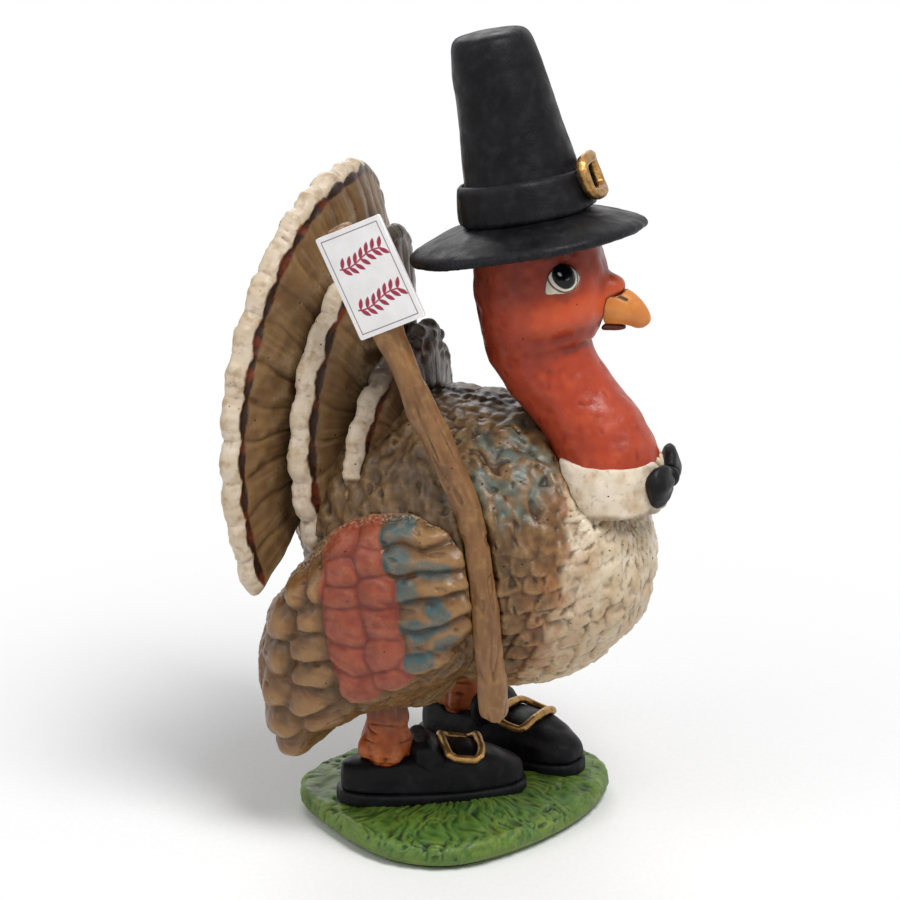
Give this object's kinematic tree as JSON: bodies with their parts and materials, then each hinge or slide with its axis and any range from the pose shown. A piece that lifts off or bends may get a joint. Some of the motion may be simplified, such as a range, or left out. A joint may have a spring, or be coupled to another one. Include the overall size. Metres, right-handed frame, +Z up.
{
  "type": "turkey figure",
  "caption": "Standing turkey figure in a tall buckled hat and buckled shoes, with a fanned tail, folded wings, a collar with a bow and a staff holding a card, on a grass base.",
  "frame": {"origin": "on the flat underside of the felt pad, in the middle of the grass base", "axes": "+Z is up, +X is the way the bird faces, +Y is the bird's left side"},
  "size_m": [0.1542, 0.13, 0.307],
  "materials": {
    "felt": "dark felt pad, matte",
    "grass": "hand-painted cast resin grass, satin, dark wash in the recesses",
    "rod": "plain drawn rod",
    "black": "black painted cast resin with a grey dry brush, satin",
    "gold": "aged gold metallic paint over cast resin, worn",
    "leg": "orange painted cast resin, satin",
    "feather": "tan painted cast resin feathers with a dark wash and a blue dry brush",
    "fan": "tan painted cast resin tail feathers with cream tips and a dark band",
    "skin": "brick red painted cast resin, satin",
    "beak": "orange painted cast resin, satin",
    "eye": "cream painted cast resin, semi-gloss",
    "pupil": "gloss black paint with a white dot",
    "cream": "cream painted cast resin with a tan wash",
    "wood": "cast resin painted as a wooden stick",
    "card": "white printed card, matte"
  },
  "bodies": {
    "root": {"base_felt": "felt", "grass_base": "grass", "body": "feather", "right_wing": "feather", "left_wing": "feather", "tail_fan_outer": "fan", "tail_fan_middle": "fan", "tail_fan_inner": "fan", "head_and_neck": "skin", "neck_rod": "rod", "upper_beak": "beak", "lower_beak": "skin", "collar": "cream", "bow_knot": "black", "bow_right_loop": "black", "bow_left_loop": "black", "hat_rod": "rod", "hat_brim": "black", "hat_crown": "black", "hat_band": "black", "hat_buckle": "gold", "sign_staff": "wood", "sign_card": "card", "right_eye": "eye", "right_pupil": "pupil", "right_leg": "leg", "right_leg_rod": "rod", "right_shoe_sole": "black", "right_shoe_upper": "black", "right_shoe_tongue": "black", "right_shoe_buckle": "gold", "left_eye": "eye", "left_pupil": "pupil", "left_leg": "leg", "left_leg_rod": "rod", "left_shoe_sole": "black", "left_shoe_upper": "black", "left_shoe_tongue": "black", "left_shoe_buckle": "gold"}
  },
  "joints": []
}
